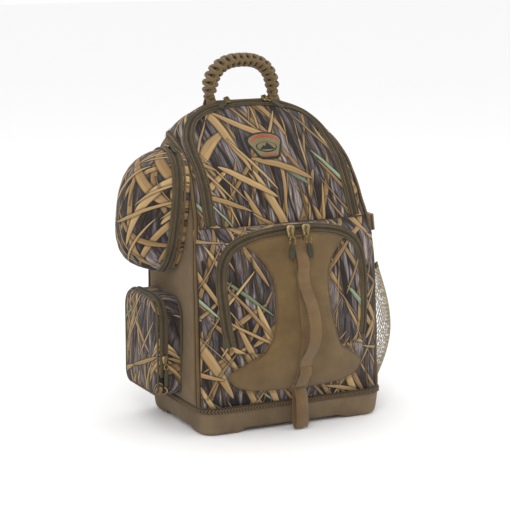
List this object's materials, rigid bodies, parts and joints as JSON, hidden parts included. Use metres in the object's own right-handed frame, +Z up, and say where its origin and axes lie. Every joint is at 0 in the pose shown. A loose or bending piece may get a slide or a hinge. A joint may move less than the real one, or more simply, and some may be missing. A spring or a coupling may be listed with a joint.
{
  "type": "tackle backpack",
  "caption": "Padded fishing day pack with a rigid moulded base tub, zipped main, front and side pockets, a hard glasses case, a net bottle pocket, a knotted-cord handle and shoulder straps.",
  "frame": {"origin": "on the floor under the middle of the whole outline, side pockets and straps included; the middle of the base tub is 18.1 mm to +X and 9.6 mm to -Y of it", "axes": "+Z up, -Y out of the front pocket, +X towards the net pocket (the right-hand side seen from the front)"},
  "size_m": [0.4477, 0.3448, 0.569],
  "materials": {
    "camo_fabric": "matte woven",
    "moulded_base": "matte moulded",
    "brown_canvas": "matte heavy weave",
    "zip_tape": "matte woven tape",
    "webbing": "ribbed webbing",
    "lining": "plain weave",
    "netting": "open net",
    "mesh_pad": "spacer mesh",
    "buckle_plastic": "satin moulded",
    "brass": "antique",
    "rubber_pull": "matte",
    "patch": "matte moulded",
    "paracord": "knotted cord"
  },
  "bodies": {
    "pack": {"base_tub": "moulded_base", "base_welt": "brown_canvas", "side_panel_left": "camo_fabric", "side_panel_right": "camo_fabric", "back_wall": "lining", "frame_sheet": "lining", "upper_gusset": "camo_fabric", "divider_wall": "lining", "main_zip_fixed": "zip_tape", "front_pocket_gusset": "camo_fabric", "front_zip_fixed": "zip_tape", "overlay_lower": "brown_canvas", "web_strip_lower": "webbing", "case_back_shell": "camo_fabric", "case_zip_fixed": "zip_tape", "accessory_gusset": "camo_fabric", "accessory_zip_fixed": "zip_tape", "net_pocket": "netting", "net_hem": "zip_tape", "back_pad": "mesh_pad", "strap_yoke": "webbing", "strap_anchor_left": "webbing", "strap_anchor_right": "webbing", "compression_socket": "buckle_plastic", "compression_web": "webbing"},
    "web_loop": {"bottom_web_loop": "webbing"},
    "main_flap": {"main_flap": "camo_fabric", "main_zip_moving": "zip_tape", "badge_patch": "patch"},
    "front_flap": {"front_pocket_flap": "camo_fabric", "front_zip_moving": "zip_tape", "overlay_upper": "brown_canvas", "web_strip_upper": "webbing", "loose_strap": "webbing"},
    "case_lid": {"case_lid": "camo_fabric", "case_zip_moving": "zip_tape"},
    "accessory_flap": {"accessory_flap": "camo_fabric", "accessory_zip_moving": "zip_tape"},
    "handle": {"paracord_handle": "paracord"},
    "strap_left": {"shoulder_strap_left": "mesh_pad", "ladder_lock_left": "buckle_plastic", "sternum_socket": "buckle_plastic"},
    "strap_right": {"shoulder_strap_right": "mesh_pad", "ladder_lock_right": "buckle_plastic"},
    "lower_web_left": {"lower_web_left": "webbing"},
    "lower_web_right": {"lower_web_right": "webbing"},
    "sternum_plug": {"sternum_plug": "buckle_plastic"},
    "compression_plug": {"compression_plug": "buckle_plastic"},
    "main_left_slider": {"main_left_slider": "brass"},
    "main_left_pull": {"main_left_pull": "rubber_pull"},
    "main_right_slider": {"main_right_slider": "brass"},
    "main_right_pull": {"main_right_pull": "rubber_pull"},
    "front_left_slider": {"front_left_slider": "brass"},
    "front_left_pull": {"front_left_pull": "rubber_pull"},
    "front_right_slider": {"front_right_slider": "brass"},
    "front_right_pull": {"front_right_pull": "rubber_pull"},
    "accessory_slider": {"accessory_slider": "brass"},
    "accessory_pull": {"accessory_pull": "rubber_pull"},
    "case_slider": {"case_slider": "brass"},
    "case_pull": {"case_pull": "rubber_pull"}
  },
  "joints": [
    {"name": "main_flap_fold", "type": "hinge", "parent": "pack", "child": "main_flap", "pos_m": [0.01807, -0.07611, 0.3165], "axis": [1, 0, 0], "range_deg": [0, 100]},
    {"name": "front_flap_fold", "type": "hinge", "parent": "pack", "child": "front_flap", "pos_m": [0.01807, -0.15661, 0.1276], "axis": [1, 0, 0], "range_deg": [0, 90]},
    {"name": "case_lid_fold", "type": "hinge", "parent": "pack", "child": "case_lid", "pos_m": [-0.14957, 0.06789, 0.33514], "axis": [-0.1045, 0, -0.9945], "range_deg": [0, 110]},
    {"name": "accessory_flap_fold", "type": "hinge", "parent": "pack", "child": "accessory_flap", "pos_m": [-0.17198, 0.02439, 0.051], "axis": [0, -1, 0], "range_deg": [0, 90]},
    {"name": "handle_fold", "type": "hinge", "parent": "pack", "child": "handle", "pos_m": [0.01807, 0.07839, 0.49], "axis": [1, 0, 0], "range_deg": [-60, 35]},
    {"name": "strap_left_swing", "type": "hinge", "parent": "pack", "child": "strap_left", "pos_m": [0.01807, 0.10239, 0.431], "axis": [1, 0, 0], "range_deg": [0, 10]},
    {"name": "strap_right_swing", "type": "hinge", "parent": "pack", "child": "strap_right", "pos_m": [0.01807, 0.10239, 0.431], "axis": [1, 0, 0], "range_deg": [0, 10]},
    {"name": "lower_web_left_swing", "type": "hinge", "parent": "pack", "child": "lower_web_left", "pos_m": [-0.09393, 0.10359, 0.06], "axis": [1, 0, 0], "range_deg": [-26, 0]},
    {"name": "lower_web_right_swing", "type": "hinge", "parent": "pack", "child": "lower_web_right", "pos_m": [0.13007, 0.10359, 0.06], "axis": [1, 0, 0], "range_deg": [-26, 0]},
    {"name": "sternum_clip", "type": "slide", "parent": "strap_right", "child": "sternum_plug", "axis": [1, 0, 0], "range_m": [0, 0.016]},
    {"name": "compression_clip", "type": "slide", "parent": "pack", "child": "compression_plug", "axis": [0, 1, 0], "range_m": [0, 0.016]},
    {"name": "web_loop_swing", "type": "hinge", "parent": "pack", "child": "web_loop", "pos_m": [0.01807, -0.12461, 0.066], "axis": [-1, 0, 0], "range_deg": [0, 80]},
    {"name": "main_left_run", "type": "slide", "parent": "main_flap", "child": "main_left_slider", "axis": [1, 0, 0], "range_m": [-0.02, 0.014]},
    {"name": "main_right_run", "type": "slide", "parent": "main_flap", "child": "main_right_slider", "axis": [1, 0, 0], "range_m": [-0.014, 0.02]},
    {"name": "front_left_run", "type": "slide", "parent": "front_flap", "child": "front_left_slider", "axis": [1, 0, 0], "range_m": [-0.025, 0.006]},
    {"name": "front_right_run", "type": "slide", "parent": "front_flap", "child": "front_right_slider", "axis": [1, 0, 0], "range_m": [-0.006, 0.025]},
    {"name": "accessory_run", "type": "slide", "parent": "accessory_flap", "child": "accessory_slider", "axis": [0, 0, 1], "range_m": [-0.02, 0.05]},
    {"name": "case_run", "type": "slide", "parent": "case_lid", "child": "case_slider", "axis": [0, 1, 0], "range_m": [-0.01, 0]},
    {"name": "main_left_pull_swing", "type": "hinge", "parent": "main_left_slider", "child": "main_left_pull", "pos_m": [-0.01393, 0.05523, 0.49409], "axis": [-1, 0, 0], "range_deg": [0, 120]},
    {"name": "main_right_pull_swing", "type": "hinge", "parent": "main_right_slider", "child": "main_right_pull", "pos_m": [0.05207, 0.05523, 0.49409], "axis": [-1, 0, 0], "range_deg": [0, 120]},
    {"name": "front_left_pull_swing", "type": "hinge", "parent": "front_left_slider", "child": "front_left_pull", "pos_m": [0.00207, -0.12938, 0.30602], "axis": [-1, 0, 0], "range_deg": [0, 150]},
    {"name": "front_right_pull_swing", "type": "hinge", "parent": "front_right_slider", "child": "front_right_pull", "pos_m": [0.02807, -0.12938, 0.30602], "axis": [-1, 0, 0], "range_deg": [0, 150]},
    {"name": "accessory_pull_swing", "type": "hinge", "parent": "accessory_slider", "child": "accessory_pull", "pos_m": [-0.17203, -0.05121, 0.1065], "axis": [-1, 0, 0], "range_deg": [0, 150]},
    {"name": "case_pull_swing", "type": "hinge", "parent": "case_slider", "child": "case_pull", "pos_m": [-0.13879, 0.00539, 0.43817], "axis": [-0.9945, 0, 0.1045], "range_deg": [0, 110]}
  ],
  "couplings": [
    {"joint": "strap_right_swing", "follows": "strap_left_swing", "ratio": 1},
    {"joint": "lower_web_left_swing", "follows": "strap_left_swing", "ratio": -2.6},
    {"joint": "lower_web_right_swing", "follows": "strap_left_swing", "ratio": -2.6}
  ]
}
